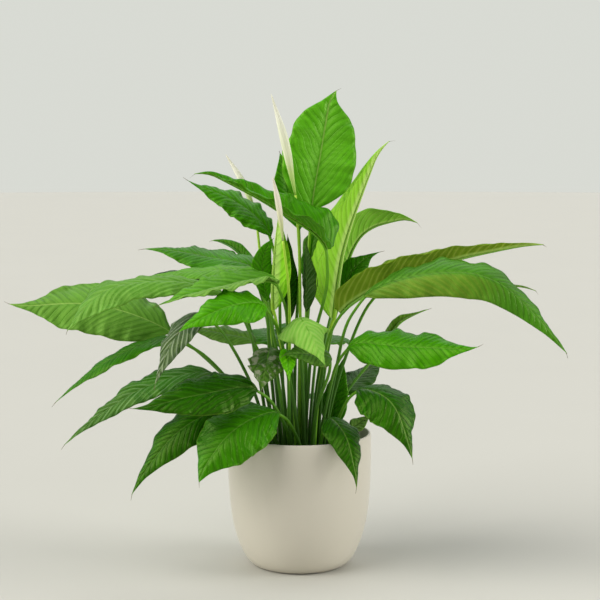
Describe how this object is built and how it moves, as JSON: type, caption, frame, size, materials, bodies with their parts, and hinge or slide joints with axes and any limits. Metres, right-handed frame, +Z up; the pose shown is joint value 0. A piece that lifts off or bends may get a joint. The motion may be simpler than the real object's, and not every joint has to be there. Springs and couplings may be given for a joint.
{
  "type": "potted peace lily",
  "caption": "Peace lily in a plain round white pot: a clump of broad pointed leaves on long stalks arching out over the rim, with slim closed white flowers standing among them.",
  "frame": {"origin": "centre of the pot's flat underside, on the surface it stands on", "axes": "+Z up; -Y towards the plant's front, the side it is mostly seen from; +X to the plant's right as seen from the front"},
  "size_m": [0.68, 0.325, 0.595],
  "materials": {
    "pot": "smooth satin off-white",
    "soil": null,
    "leaf": null,
    "flower_stalk": null,
    "spathe": null
  },
  "bodies": {
    "root": {"pot": "pot", "soil": "soil", "leaf_top": "leaf", "leaf_behind_top": "leaf", "leaf_fountain": "leaf", "leaf_right_high": "leaf", "leaf_right_long": "leaf", "leaf_right_arch": "leaf", "leaf_right_hidden": "leaf", "leaf_right_mid": "leaf", "leaf_right_sliver": "leaf", "leaf_right_low": "leaf", "leaf_front_right_drop": "leaf", "leaf_front_centre": "leaf", "leaf_front_inner": "leaf", "leaf_front_crinkled": "leaf", "leaf_front_small": "leaf", "leaf_left_long": "leaf", "leaf_left_arch": "leaf", "leaf_left_pale": "leaf", "leaf_left_back": "leaf", "leaf_left_slim": "leaf", "leaf_left_dark": "leaf", "leaf_left_high": "leaf", "leaf_crown_left": "leaf", "leaf_front_left": "leaf", "leaf_left_striped": "leaf", "leaf_left_low": "leaf", "leaf_left_lower": "leaf", "leaf_low_dark": "leaf", "leaf_low_left": "leaf", "leaf_front_broad": "leaf", "leaf_left_inner": "leaf", "leaf_left_sliver": "leaf", "leaf_upright_left": "leaf", "leaf_furled": "leaf", "leaf_upright_dark": "leaf", "leaf_upright_curled": "leaf", "leaf_right_inner": "leaf", "leaf_right_shade": "leaf", "leaf_right_upright": "leaf", "leaf_rim_small": "leaf", "leaf_low_back_left": "leaf", "leaf_upright_back": "leaf", "leaf_back_middle": "leaf", "leaf_back_right": "leaf", "leaf_back_left": "leaf", "leaf_back_low": "leaf", "flower_stalk_front": "flower_stalk", "spathe_front": "spathe", "flower_stalk_left": "flower_stalk", "spathe_left": "spathe", "flower_stalk_back": "flower_stalk", "spathe_back": "spathe"}
  },
  "joints": []
}
